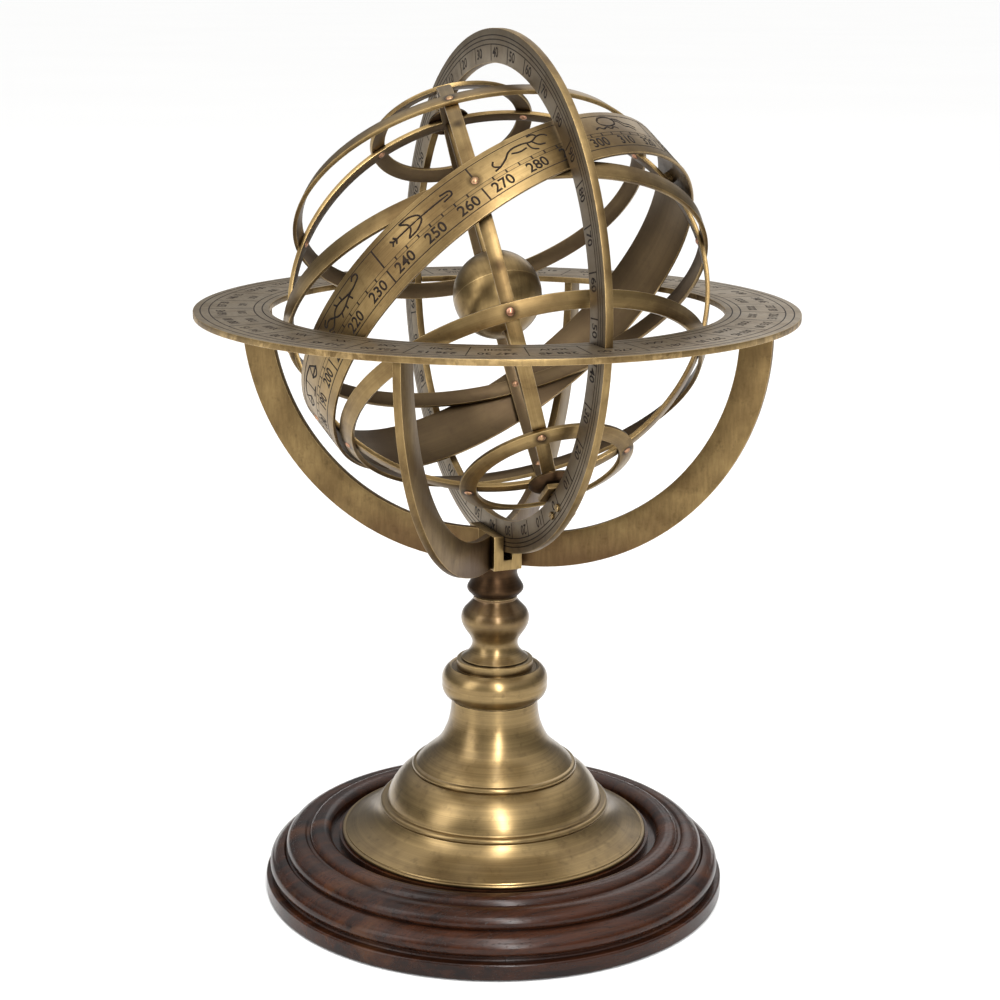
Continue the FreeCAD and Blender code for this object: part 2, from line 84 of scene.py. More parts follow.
def angle(text, about, degrees):
    return FloatProperty(name=text, description=about, default=math.radians(degrees), unit="ROTATION")


def colour(text, about, value):
    return FloatVectorProperty(name=text, description=about, default=value, subtype="COLOR",
                               min=0.0, max=1.0, size=3)


class InstrumentSizes(bpy.types.PropertyGroup):
    """Sizes of the rings and of what is engraved on them."""
    ring_steps: IntProperty(name="Ring steps", description="Faces round each ring", default=192)
    plate_ring_inner: length("Plate ring opening", "Inner radius of meridian and horizon", 0.1033)
    hoop_outer: length("Hoop radius", "Outer face of equator, tropics and polar circles", 0.0983)
    hoop_thickness: length("Hoop thickness", "Strap thickness of the hoops", 0.002)
    hoop_width: length("Hoop width", "Strap width of equator and tropics", 0.0077)
    polar_width: length("Polar width", "Strap width of the polar circles", 0.0074)
    colure_outer: length("Colure radius", "Outer face of the colures", 0.09622)
    colure_width: length("Colure width", "Strap width of the colures", 0.0062)
    zodiac_outer: length("Zodiac radius", "Outer face of the zodiac band", 0.09988)
    zodiac_width: length("Zodiac width", "Width of the zodiac band", 0.0256)
    zodiac_thickness: length("Zodiac thickness", "Thickness of the zodiac band", 0.0015)
    zodiac_drop: length("Zodiac drop", "Middle of the zodiac band south of its rivets", 0.0034)
    tropic_latitude: angle("Tropic latitude", "Latitude of the tropics", 33.2)
    polar_latitude: angle("Polar latitude", "Latitude of the polar circles", 68.5)
    zodiac_tilt: angle("Zodiac tilt", "Slope of the zodiac to the equator", 21.5)
    cage_turn: angle("Cage turn", "Turn of the cage about the polar axis at rest", -23.4)
    slot_width: length("Notch width", "Width of the notches of the horizon", 0.0042)
    notch_end: length("Notch end", "Outer end of the notches of the horizon", 0.1187)
    edge_round: length("Edge rounding", "Wear of the long edges of the straps", 0.00032)
    stain_reach: length("Stain reach", "Reach of the dark stains round the rivets", 0.0042)
    ink_height: length("Fill height", "How far the black fill stands above the metal", 0.00003)
    ink_depth: length("Fill depth", "How deep the black fill reaches", 0.00012)


class InstrumentColours(bpy.types.PropertyGroup):
    """Colours of the metals, the wood and the felt."""
    # Bright bare brass of worn edges and patches, also used as a painted highlight along the edges.
    brass_bright: colour("Bright brass", "Rubbed edges", (0.58, 0.41, 0.19))
    brass_light: colour("Light brass", "Open faces", (0.290, 0.200, 0.086))
    brass_mid: colour("Toned brass", "Thin patina", (0.140, 0.090, 0.038))
    # Dark patina, also laid as painted shade in corners and hollows.
    brass_dark: colour("Dark patina", "Corners and hollows", (0.026, 0.015, 0.008))
    brass_grey: colour("Grey patina", "Engraved faces", (0.27, 0.225, 0.165))
    brass_brown: colour("Brown patina", "Heated brass round the cradle", (0.095, 0.052, 0.026))
    # Painted shade laid on the inner faces of the hoops.
    brass_inner: colour("Inner patina", "Inner faces of the hoops", (0.072, 0.049, 0.030))
    copper: colour("Rivet copper", "Rivet heads", (0.56, 0.28, 0.19))
    black_fill: colour("Black fill", "Fill of the engraving", (0.008, 0.006, 0.005))
    wood_dark: colour("Dark wood", "Late grain", (0.004, 0.0014, 0.0009))
    wood_light: colour("Light wood", "Early grain", (0.050, 0.0140, 0.0044))
    wood_honey: colour("Honey wood", "Pale streaks", (0.085, 0.030, 0.0085))
    felt: colour("Felt", "Pad under the base", (0.02, 0.06, 0.035))
    floor: colour("Floor", "Pale studio floor", (0.95, 0.95, 0.945))


# ------------------------------------------------------------------ node graphs
class Graph:
    """A material's node tree with short calls for its usual nodes."""

    def __init__(self, name):
        self.material = bpy.data.materials.new(name)
        self.material.use_nodes = True
        self.tree = self.material.node_tree
        self.tree.nodes.clear()
        self.shader = self.node("ShaderNodeBsdfPrincipled")
        output = self.node("ShaderNodeOutputMaterial")
        self.tree.links.new(self.shader.outputs[0], output.inputs["Surface"])

    def node(self, kind, **inputs):
        """Add a node and fill the named inputs, with _ for a space."""
        made = self.tree.nodes.new(kind)
        for key, value in inputs.items():
            self.set(made.inputs[key.replace("_", " ")], value)
        return made

    def set(self, socket, value):
        """Link a socket to another, or give it a plain value."""
        if isinstance(value, bpy.types.NodeSocket):
            self.tree.links.new(value, socket)
        elif hasattr(value, "__len__") and len(value) == 3 and len(socket.default_value) == 4:
            socket.default_value = (*value, 1.0)
        else:
            socket.default_value = value

    def object_place(self, scale=(1, 1, 1), turn=(0, 0, 0), offset=(0, 0, 0)):
        place = self.node("ShaderNodeTexCoord").outputs["Object"]
        return self.node("ShaderNodeMapping", Vector=place, Scale=scale, Rotation=turn,
                         Location=offset).outputs[0]

    def strap_place(self, along, across):
        """Coordinates that follow a strap: drawn out along it, fine across it."""
        uv = self.node("ShaderNodeUVMap")
        uv.uv_map = UV_NAME
        return self.node("ShaderNodeMapping", Vector=uv.outputs[0], Scale=(along, across, 1)).outputs[0]

    def lathe_place(self, across, around):
        """Coordinates that follow turning: fine across the tool marks, drawn out round the Z axis."""
        place = self.node("ShaderNodeTexCoord").outputs["Object"]
        split = self.node("ShaderNodeSeparateXYZ", Vector=place)
        x, y, z = (split.outputs[axis] for axis in "XYZ")
        square = self.math("ADD", self.math("MULTIPLY", x, x), self.math("MULTIPLY", y, y))
        radius = self.math("SQRT", square)
        made = self.node("ShaderNodeCombineXYZ", X=self.math("MULTIPLY", radius, across),
                         Y=self.math("MULTIPLY", z, across), Z=self.math("MULTIPLY", x, around))
        return made.outputs[0]

    def noise(self, place, scale, detail=3.0, roughness=0.55, distortion=0.0):
        made = self.node("ShaderNodeTexNoise", Vector=place, Scale=scale, Detail=detail,
                         Roughness=roughness, Distortion=distortion)
        return made.outputs[0]

    def ramp(self, fac, stops):
        """Map a value through stops of (value, grey or colour)."""
        made = self.node("ShaderNodeValToRGB", Fac=fac)
        elements = made.color_ramp.elements
        while len(elements) < len(stops):
            elements.new(0.5)
        for element, (place, value) in zip(elements, stops):
            element.position = place
            shade = value if hasattr(value, "__len__") else (value, value, value)
            element.color = (*shade, 1.0)
        return made.outputs[0]

    def rise(self, fac, start, full):
        """Mask that rises from 0 at start to 1 at full."""
        return self.ramp(fac, [(start, 0.0), (full, 1.0)])

    def mix(self, fac, a, b):
        made = self.tree.nodes.new("ShaderNodeMix")
        made.data_type = "RGBA"
        for index, value in ((0, fac), (6, a), (7, b)):
            self.set(made.inputs[index], value)
        return made.outputs[2]

    def cover(self, base, tone, mask, strength):
        """Lay a tone over a base colour where a mask is high."""
        return self.mix(self.math("MULTIPLY", mask, strength), base, tone)

    def math(self, kind, a, b=0.0, clamp=False):
        made = self.tree.nodes.new("ShaderNodeMath")
        made.operation = kind
        made.use_clamp = clamp
        self.set(made.inputs[0], a)
        self.set(made.inputs[1], b)
        return made.outputs[0]

    def vector(self, kind, a, b=(0, 0, 0)):
        made = self.tree.nodes.new("ShaderNodeVectorMath")
        made.operation = kind
        self.set(made.inputs[0], a)
        self.set(made.inputs[1], b)
        return made.outputs["Value" if kind in ("DOT_PRODUCT", "DISTANCE") else "Vector"]

    def hollow(self, distance):
        """1 in corners and hollows, where shade falls, 0 on open faces."""
        made = self.node("ShaderNodeAmbientOcclusion", Distance=distance)
        made.samples = 6
        return self.math("SUBTRACT", 1.0, made.outputs["AO"], clamp=True)

    def edge(self, radius):
        """1 on outer edges, where handling keeps the metal bright and where a highlight is painted."""
        soft = self.node("ShaderNodeBevel", Radius=radius)
        soft.samples = 4
        hard = self.node("ShaderNodeNewGeometry").outputs["Normal"]
        bent = self.math("SUBTRACT", 1.0, self.vector("DOT_PRODUCT", soft.outputs[0], hard), clamp=True)
        return self.math("MULTIPLY", bent, 9.0, clamp=True)

    def facing(self, direction):
        """1 on faces that look along a direction or against it."""
        normal = self.node("ShaderNodeTexCoord").outputs["Normal"]
        along = self.math("ABSOLUTE", self.vector("DOT_PRODUCT", normal, direction))
        return self.rise(along, 0.75, 0.95)

    def inward(self, centre):
        """1 on faces that look towards a point."""
        place = self.node("ShaderNodeTexCoord")
        away = self.vector("NORMALIZE", self.vector("SUBTRACT", place.outputs["Object"], centre))
        out = self.vector("DOT_PRODUCT", place.outputs["Normal"], away)
        return self.rise(self.math("MULTIPLY", out, -1.0), 0.3, 0.8)

    def rivet_stains(self, sizes):
        """1 round the rivets, where heat and polish left the metal dark.

        The cage repeats every quarter turn and on both sides of its equator, so one quarter stands for all.
        """
        cage = cage_matrix(sizes)
        place = self.node("ShaderNodeTexCoord").outputs["Object"]
        own = self.node("ShaderNodeMapping", Vector=place, Location=cage.to_translation(),
                        Rotation=cage.to_euler())
        own.vector_type = "TEXTURE"
        unsigned = self.vector("ABSOLUTE", own.outputs[0])
        split = self.node("ShaderNodeSeparateXYZ", Vector=unsigned)
        x, y, z = (split.outputs[axis] for axis in "XYZ")
        folded = self.node("ShaderNodeCombineXYZ", X=self.math("MAXIMUM", x, y),
                           Y=self.math("MINIMUM", x, y), Z=z).outputs[0]
        nearest = 1.0
        for latitude in (0.0, sizes.zodiac_tilt, sizes.tropic_latitude, sizes.polar_latitude):
            rivet = (sizes.hoop_outer * math.cos(latitude), 0.0, sizes.hoop_outer * math.sin(latitude))
            nearest = self.math("MINIMUM", self.vector("DISTANCE", folded, rivet), nearest)
        return self.ramp(self.math("DIVIDE", nearest, sizes.stain_reach), [(0.45, 1.0), (1.0, 0.0)])

    def bump(self, height, strength, distance):
        made = self.node("ShaderNodeBump", Height=height, Strength=strength, Distance=distance)
        self.tree.links.new(made.outputs[0], self.shader.inputs["Normal"])

    def shader_values(self, **values):
        """Give the shader's named inputs plain values, with _ for a space."""
        for key, value in values.items():
            self.shader.inputs[key.replace("_", " ")].default_value = value

    def finish(self, colour_socket, roughness, metallic=1.0):
        """Connect the colour and the roughness, and hand over the material."""
        self.set(self.shader.inputs["Base Color"], colour_socket)
        self.set(self.shader.inputs["Roughness"], roughness)
        self.shader_values(Metallic=metallic)
        return self.material


def brushing(g, brush, place):
    """Fine and broad marks of the polish: along a strap, round a lathe, or cloudy from hand work."""
    if brush == "strap":
        fine = g.noise(g.strap_place(14.0, 2600.0), 1.0, 2.0, 0.6)
        broad = g.noise(g.strap_place(5.0, 420.0), 1.0, 2.0, 0.5)
    elif brush == "lathe":
        fine = g.noise(g.lathe_place(2600.0, 14.0), 1.0, 2.0, 0.6)
        broad = g.noise(g.lathe_place(420.0, 6.0), 1.0, 3.0, 0.55)
        tangent = g.node("ShaderNodeTangent")
        tangent.direction_type = "RADIAL"
        tangent.axis = "Z"
        g.set(g.shader.inputs["Tangent"], tangent.outputs[0])
        g.shader_values(Anisotropic=0.55, Anisotropic_Rotation=0.25)
    else:
        fine = g.noise(g.object_place(scale=(900.0, 120.0, 120.0), turn=(0.3, 0.5, 0.8)), 1.0, 3.0, 0.6)
        broad = g.noise(place, 70.0, 3.0, 0.5)
    return fine, broad


def brass(name, tones, brush, rough=(0.30, 0.46), patina=(0.42, 0.62), hollow_distance=0.005, seed=0.0,
          faces=None, cage=None, browned=None, mottle=0.0, lacquer=0.0):
    """Antique brass.

    tones: open face, patina, hollows (patina and painted shade) and rubbed edge (wear and painted highlight)
    brush: direction of the polish, as brushing takes it
    rough: roughness of the smoothest and the dullest metal
    patina: cloud values where the patina starts and is full
    faces: direction and tone of engraved faces
    cage: painted shade tone of the hoops' inner faces, and the sizes that place the rivet stains
    browned: a brown tone and the heights where it starts and is full
    mottle: strength of bare patches
    """
    light, toned, dark, bright = tones
    g = Graph(name)
    place = g.object_place(offset=(seed, seed, seed))
    clouds = g.noise(place, 26.0, 6.0, 0.62)
    fine, broad = brushing(g, brush, place)
    base = g.mix(g.rise(clouds, *patina), light, toned)
    if browned:
        tone, start, full = browned
        height = g.node("ShaderNodeSeparateXYZ", Vector=place).outputs["Z"]
        height = g.math("DIVIDE", g.math("SUBTRACT", height, start + seed), full - start)
        ragged = g.math("MULTIPLY", g.math("SUBTRACT", clouds, 0.5), 1.6)
        base = g.mix(g.ramp(g.math("ADD", height, ragged), [(0.0, 0.0), (1.0, 0.85)]), base, tone)
    if mottle:
        bare = g.rise(g.noise(place, 75.0, 5.0, 0.6, 0.8), 0.52, 0.6)
        scabs = g.rise(g.noise(place, 55.0, 6.0, 0.7), 0.55, 0.63)
        base = g.cover(base, bright, bare, mottle)
        base = g.cover(base, dark, scabs, 0.6)
    if faces:
        direction, tone = faces
        base = g.cover(base, tone, g.facing(direction), 0.85)
    base = g.cover(base, toned, g.rise(broad, 0.38, 0.68), 0.45)
    base = g.cover(base, dark, g.rise(fine, 0.35, 0.7), 0.22)
    base = g.cover(base, dark, g.rise(g.noise(place, 210.0, 4.0, 0.7), 0.55, 0.74), 0.35)
    # Corners and hollows darkened by ambient occlusion: partly the patina that gathers there, partly painted
    # shade.
    base = g.cover(base, dark, g.rise(g.hollow(hollow_distance), 0.18, 0.85), 0.85)
    if cage:
        tone, sizes = cage
        # Painted shade: faces that look towards the cage's centre are darkened.
        base = g.cover(base, tone, g.inward(CENTRE), 0.8)
        base = g.cover(base, dark, g.rivet_stains(sizes), 0.92)
    # Brighter brass on the outer edges: partly wear from handling, partly a painted highlight along them.
    edge_wear_and_highlight = g.ramp(clouds, [(0.25, 1.0), (0.75, 0.45)])
    base = g.mix(g.math("MULTIPLY", g.edge(0.5 * MM), edge_wear_and_highlight), base, bright)
    gloss = g.math("ADD", g.math("MULTIPLY", clouds, rough[1] - rough[0]), rough[0])
    gloss = g.math("ADD", gloss, g.math("MULTIPLY", fine, 0.10))
    relief = g.math("ADD", g.math("MULTIPLY", fine, 0.6), g.math("MULTIPLY", broad, 0.4))
    g.bump(relief, 0.22, 0.12 * MM)
    g.shader_values(Coat_Weight=lacquer, Coat_Roughness=0.2)
    return g.finish(base, gloss)


def make_materials(colours, sizes):
    """Make every finish once, under the name of its material slot."""
    c = colours
    plain = (c.brass_light, c.brass_mid, c.brass_dark, c.brass_bright)
    dull = (c.brass_brown, c.brass_dark, c.brass_dark, c.brass_light)
    copper = (c.copper, c.brass_light, c.brass_dark, c.copper)
    inside = (c.brass_inner, sizes)
    knop_top = high("stem_baluster", 2)
    knop_middle = 0.5 * (low("stem_baluster", 2) + knop_top)
    hub_top = high("cradle_hub", 2)
    meridian_grey = [0.85 * v for v in c.brass_grey]
    MATERIALS.update(
        foot_brass=brass("turned brass", plain, "lathe", rough=(0.22, 0.34), patina=(0.5, 0.75),
                         lacquer=0.2),
        stem_brass=brass("turned stem brass", plain, "lathe", rough=(0.24, 0.36), patina=(0.42, 0.7),
                         browned=(c.brass_brown, knop_middle, knop_top), lacquer=0.2),
        dark_brass=brass("dark toned brass", dull, "lathe", rough=(0.32, 0.5)),
        arm_brass=brass("arm plate brass", plain, "cloudy", rough=(0.34, 0.5), patina=(0.3, 0.6),
                        browned=(c.brass_brown, hub_top + 12 * MM, hub_top - 8 * MM)),
        hub_brass=brass("sawn brass", plain, "cloudy", rough=(0.3, 0.45), patina=(0.5, 0.7)),
        horizon_brass=brass("horizon brass", plain, "cloudy", rough=(0.34, 0.5),
                            faces=((0, 0, 1), c.brass_grey), mottle=0.5),
        meridian_brass=brass("meridian brass", plain, "cloudy", rough=(0.34, 0.5), seed=3.0,
                             faces=((1, 0, 0), meridian_grey)),
        fitting_brass=brass("fitting brass", plain, "cloudy", rough=(0.32, 0.46), seed=5.0),
        rod_brass=brass("axis brass", plain, "cloudy", rough=(0.28, 0.4), seed=7.0),
        ball_brass=brass("ball brass", plain, "cloudy", rough=(0.22, 0.34), patina=(0.45, 0.7), seed=9.0),
        hoop_brass=brass("hoop brass", plain, "strap", rough=(0.26, 0.42), seed=11.0, cage=inside),
        zodiac_brass=brass("zodiac brass", plain, "strap", rough=(0.26, 0.4), seed=13.0, cage=inside),
        screw_brass=brass("screw brass", plain, "cloudy", rough=(0.24, 0.36)),
        rivet_copper=brass("rivet copper", copper, "cloudy", rough=(0.25, 0.4), hollow_distance=0.0012),
        black_fill=black_fill(c),
        wood=wood(c),
        felt=felt(c),
        steel=steel(),
    )


def black_fill(c):
    """Black wax rubbed into the engraving, worn thin here and there."""
    g = Graph("black engraving fill")
    place = g.object_place()
    tone = g.mix(g.rise(g.noise(place, 160.0, 3.0), 0.35, 0.8), c.black_fill, c.brass_dark)
    rough = g.math("ADD", g.math("MULTIPLY", g.noise(place, 900.0, 2.0), 0.2), 0.5)
    g.shader_values(Specular_IOR_Level=0.12)
    return g.finish(tone, rough, metallic=0.0)


def grain(g, along, across, detail, roughness=0.55, distortion=0.0, offset=(0, 0, 0)):
    """Noise drawn out along the wood's grain, which runs along X."""
    place = g.object_place(scale=(along, across, across), turn=(0.0, 0.0, 0.35), offset=offset)
    return g.noise(place, 1.0, detail, roughness, distortion)


def wood(c):
    """Dark reddish hardwood under a satin varnish."""
    g = Graph("varnished hardwood")
    pore_tone = (0.004, 0.002, 0.0012)
    # Tone of the painted shade in the wood's hollows.
    painted_shade_tone = (0.008, 0.004, 0.003)
    middle_tone = [0.5 * (a + b) for a, b in zip(c.wood_dark, c.wood_light)]
    wander = grain(g, 5.0, 14.0, 3.0, 0.5)
    figure = grain(g, 9.0, 120.0, 5.0, 0.62, 0.6)
    streak = grain(g, 22.0, 620.0, 4.0, 0.65)
    honey = grain(g, 7.0, 60.0, 4.0, 0.6, offset=(3, 1, 2))
    pores = g.rise(grain(g, 160.0, 2300.0, 2.0), 0.62, 0.7)
    blend = g.math("ADD", g.math("MULTIPLY", figure, 0.65), g.math("MULTIPLY", wander, 0.35))
    tone = g.ramp(blend, [(0.36, c.wood_dark), (0.52, middle_tone), (0.68, c.wood_light)])
    tone = g.cover(tone, c.wood_dark, g.rise(streak, 0.45, 0.72), 0.6)
    tone = g.cover(tone, c.wood_honey, g.rise(honey, 0.54, 0.7), 0.45)
    tone = g.cover(tone, pore_tone, pores, 0.75)
    # Painted shade: the wood is darkened in its hollows by ambient occlusion.
    tone = g.cover(tone, painted_shade_tone, g.rise(g.hollow(12 * MM), 0.25, 0.9), 0.85)
    rough = g.math("ADD", g.math("MULTIPLY", figure, 0.16), 0.17)
    g.bump(g.math("SUBTRACT", g.math("MULTIPLY", streak, 0.25), pores), 0.35, 0.15 * MM)
    g.shader_values(Specular_IOR_Level=0.22, Coat_Weight=0.06, Coat_Roughness=0.22)
    return g.finish(tone, rough, metallic=0.0)


def felt(c):
    """Green wool felt."""
    g = Graph("wool felt")
    place = g.object_place()
    fibres = g.noise(place, 1400.0, 5.0, 0.8, 1.5)
    tufts = g.noise(place, 180.0, 3.0)
    pale = [min(1.0, v * 2.2) for v in c.felt]
    tone = g.mix(g.rise(fibres, 0.3, 0.75), c.felt, pale)
    tone = g.cover(tone, c.felt, tufts, 0.4)
    g.bump(fibres, 0.6, 0.3 * MM)
    g.shader_values(Sheen_Weight=0.4, Sheen_Roughness=0.6)
    return g.finish(tone, 0.95, metallic=0.0)


def steel():
    """Turned steel of the hidden hardware."""
    g = Graph("plain steel")
    light = (0.52, 0.51, 0.5)
    dark = (0.36, 0.355, 0.35)
    turned = g.noise(g.object_place(scale=(5.0, 5.0, 2500.0)), 1.0, 2.0)
    tone = g.mix(g.rise(turned, 0.3, 0.7), light, dark)
    g.bump(turned, 0.2, 0.1 * MM)
    return g.finish(tone, g.math("ADD", g.math("MULTIPLY", turned, 0.2), 0.28))


# ------------------------------------------------------------------ mesh helpers
def deselect():
    """Leave edit mode and select nothing."""
    if bpy.context.object and bpy.context.object.mode != "OBJECT":
        bpy.ops.object.mode_set(mode="OBJECT")
    bpy.ops.object.select_all(action="DESELECT")


def take(piece):
    """Make one object the only selected and active one."""
    deselect()
    piece.select_set(True)
    bpy.context.view_layer.objects.active = piece


def select_vertices(piece, wanted):
    """Leave the active piece in edit mode with only the wanted vertices selected."""
    bpy.ops.object.mode_set(mode="EDIT")
    bpy.ops.mesh.select_all(action="DESELECT")
    bpy.ops.object.mode_set(mode="OBJECT")
    for vertex in piece.data.vertices:
        vertex.select = wanted(vertex.co)
    bpy.ops.object.mode_set(mode="EDIT")


def apply_modifier(piece, kind, **settings):
    take(piece)
    modifier = piece.modifiers.new(kind.title(), kind)
    for key, value in settings.items():
        setattr(modifier, key, value)
    bpy.ops.object.modifier_apply(modifier=modifier.name)


def soften_edges(piece, width):
    """Round the sharp edges a little and shade the rest smooth."""
    apply_modifier(piece, "BEVEL", width=width, segments=2, limit_method="ANGLE",
                   angle_limit=math.radians(35), harden_normals=False)
    take(piece)
    bpy.ops.object.shade_smooth_by_angle(angle=math.radians(40))


def settle(piece, body, slot_name, matrix=None, material=None, stands_for=()):
    """Put the piece's place into its mesh, give it its finish and let it ride on its body."""
    if matrix is not None:
        piece.data.transform(matrix)
    piece.data.update()
    piece.data.materials.clear()
    piece.data.materials.append(MATERIALS[material or slot_name])
    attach(piece, body)
    if stands_for:
        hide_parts(*stands_for)


def axes_matrix(x, y, z, origin):
    """Matrix that takes the X, Y and Z axes to the given directions, from the origin given."""
    m = Matrix.Identity(4)
    for column, axis in enumerate((x, y, z)):
        for row in range(3):
            m[row][column] = axis[row]
    m.translation = origin
    return m


def cage_matrix(sizes):
    """Place of the cage: Z to the north pole, X to the front crossing of equator and zodiac."""
    side = Vector((1, 0, 0))
    front = side.cross(POLE)
    x = front * math.cos(sizes.cage_turn) + side * math.sin(sizes.cage_turn)
    return axes_matrix(x, POLE.cross(x), POLE, CENTRE)


def zodiac_matrix(sizes):
    """Place of the zodiac band, tilted to the equator and a little south of its rivets."""
    tilt = Matrix.Rotation(sizes.zodiac_tilt, 4, "X")
    return cage_matrix(sizes) @ tilt @ Matrix.Translation((0, 0, -sizes.zodiac_drop))


def meridian_matrix(sign=1, rise=0.0):
    """Place of the meridian ring, or of a face that stands off its middle towards +X or -X."""
    return axes_matrix((0, sign, 0), (0, 0, 1), (sign, 0, 0), CENTRE + Vector((sign * rise, 0, 0)))


def write_strap_uv(piece, radius, latitude):
    """UV in metres: round the ring, and across the strap."""
    layer = piece.data.uv_layers.new(name=UV_NAME)
    for loop in piece.data.loops:
        co = piece.data.vertices[loop.vertex_index].co
        across = co.z * math.cos(latitude) - math.hypot(co.x, co.y) * math.sin(latitude)
        layer.data[loop.index].uv = (math.atan2(co.y, co.x) * radius, across)


def strap_ring(name, steps, outer, thickness, width, latitude=0.0):
    """Closed strap lying against a sphere along a parallel of its own Z axis."""
    deselect()
    radius = outer * math.cos(latitude)
    lean = width / 2 * math.sin(latitude)
    bpy.ops.mesh.primitive_cylinder_add(vertices=steps, radius=radius, depth=width * math.cos(latitude),
                                        end_fill_type="NOTHING", location=(0, 0, 0))
    piece = bpy.context.object
    piece.name = name
    for sign in (1, -1):
        select_vertices(piece, lambda co: co.z * sign > 0)
        factor = (radius - sign * lean) / radius
        bpy.ops.transform.resize(value=(factor, factor, 1.0))
        bpy.ops.object.mode_set(mode="OBJECT")
    piece.data.transform(Matrix.Translation((0, 0, outer * math.sin(latitude))))
    apply_modifier(piece, "SOLIDIFY", thickness=thickness, offset=-1.0, use_even_offset=True)
    return piece


def cut_box(piece, place, size):
    """Cut a box-shaped notch."""
    deselect()
    bpy.ops.mesh.primitive_cube_add(size=1.0, location=place, scale=size)
    tool = bpy.context.object
    apply_modifier(piece, "BOOLEAN", operation="DIFFERENCE", object=tool, solver="EXACT")
    bpy.data.objects.remove(tool)


def refined_copy(node, width):
    """Copy of a CAD node, merged and with its outer edges softened."""
    data = frame["nodes"][node].data.copy()
    piece = bpy.data.objects.new(node + "_finished", data)
    bpy.context.scene.collection.objects.link(piece)
    take(piece)
    bpy.ops.object.mode_set(mode="EDIT")
    bpy.ops.mesh.select_all(action="SELECT")
    bpy.ops.mesh.customdata_custom_splitnormals_clear()
    bpy.ops.mesh.remove_doubles(threshold=0.000002)
    bpy.ops.mesh.dissolve_limited(angle_limit=math.radians(0.6))
    bpy.ops.object.mode_set(mode="OBJECT")
    soften_edges(piece, width)
    return piece


def join(pieces, name):
    """Join pieces into one and give it its name."""
    deselect()
    for piece in pieces:
        piece.select_set(True)
    bpy.context.view_layer.objects.active = pieces[0]
    bpy.ops.object.join()
    joined = bpy.context.object
    joined.name = name
    return joined


# ------------------------------------------------------------------ engraving helpers
def text_mesh(text, size, place, turn):
    """Flat figures as a mesh in the XY plane, centred on place."""
    deselect()
    bpy.ops.object.text_add(location=(0, 0, 0))
    figure = bpy.context.object
    figure.data.body = text
    figure.data.size = size
    figure.data.align_x = "CENTER"
    figure.data.align_y = "CENTER"
    figure.data.resolution_u = 3
    boldness = 0.018
    figure.data.offset = size * boldness
    bpy.ops.object.convert(target="MESH")
    figure = bpy.context.object
    figure.data.transform(Matrix.Translation(place) @ Matrix.Rotation(turn, 4, "Z"))
    return figure


def line_mesh(start, end, width, steps=1):
    """Flat straight line from start to end in the XY plane, divided along its length."""
    deselect()
    bpy.ops.mesh.primitive_grid_add(x_subdivisions=steps, y_subdivisions=1, size=1.0)
    line = bpy.context.object
    a = Vector(start)
    b = Vector(end)
    run = b - a
    middle = (a + b) / 2
    turn = math.atan2(run.y, run.x)
    line.data.transform(Matrix.Translation((middle.x, middle.y, 0)) @ Matrix.Rotation(turn, 4, "Z")
                        @ Matrix.Diagonal((run.length, width, 1, 1)))
    return line


def circle_mesh(radius, width, steps):
    """Flat circular line."""
    deselect()
    bpy.ops.mesh.primitive_circle_add(vertices=steps, radius=radius + width / 2)
    circle = bpy.context.object
    bpy.ops.object.mode_set(mode="EDIT")
    bpy.ops.mesh.select_all(action="SELECT")
    bpy.ops.mesh.extrude_edges_move()
    factor = (radius - width / 2) / (radius + width / 2)
    bpy.ops.transform.resize(value=(factor, factor, 1.0))
    bpy.ops.object.mode_set(mode="OBJECT")
    return circle


def clear_notches(marks, half, reach):
    """Delete the flat marks that would hang over the notches at +Y and -Y."""
    take(marks)
    select_vertices(marks, lambda co: abs(co.x) < half and abs(co.y) < reach)
    bpy.ops.mesh.delete(type="VERT")
    bpy.ops.object.mode_set(mode="OBJECT")


def stroke_mesh(points, width):
    """Smooth engraved stroke through the points, as a flattened round wire."""
    curve = bpy.data.curves.new("stroke", "CURVE")
    curve.dimensions = "3D"
    spline = curve.splines.new("BEZIER")
    spline.bezier_points.add(len(points) - 1)
    for knot, (x, y) in zip(spline.bezier_points, points):
        knot.co = (x, y, 0)
        knot.handle_left_type = "AUTO"
        knot.handle_right_type = "AUTO"
    curve.resolution_u = 5
    curve.bevel_depth = width / 2
    curve.bevel_resolution = 0
    curve.use_fill_caps = True
    stroke = bpy.data.objects.new("stroke", curve)
    bpy.context.scene.collection.objects.link(stroke)
    take(stroke)
    bpy.ops.object.convert(target="MESH")
    return bpy.context.object


def fill_flat(pieces, name, sizes):
    """Join flat marks and give them the depth of the black fill, standing just above z = 0."""
    marks = join(pieces, name)
    take(marks)
    bpy.ops.object.mode_set(mode="EDIT")
    bpy.ops.mesh.select_all(action="SELECT")
    bpy.ops.mesh.remove_doubles(threshold=0.000001)
    bpy.ops.mesh.normals_make_consistent(inside=False)
    bpy.ops.object.mode_set(mode="OBJECT")
    for polygon in marks.data.polygons:
        if polygon.normal.z < 0:
            polygon.flip()
    marks.data.update()
    marks.data.transform(Matrix.Translation((0, 0, sizes.ink_height)))
    apply_modifier(marks, "SOLIDIFY", thickness=sizes.ink_height + sizes.ink_depth, offset=-1.0)
    return marks


def wrap_on_cylinder(piece, radius):
    """Bend flat marks onto a cylinder about Z: X runs round it, Y along Z, Z outwards."""
    for vertex in piece.data.vertices:
        turn = vertex.co.x / radius
        reach = radius + vertex.co.z
        vertex.co = Vector((reach * math.cos(turn), reach * math.sin(turn), vertex.co.y))
    piece.data.update()


def polar(radius, turn):
    """Point at a radius and a turn about Z."""
    return (radius * math.cos(turn), radius * math.sin(turn), 0.0)


def spoke(start, end, turn, width):
    """Flat line that runs outwards from one radius to another."""
    return line_mesh(polar(start, turn)[:2], polar(end, turn)[:2], width)


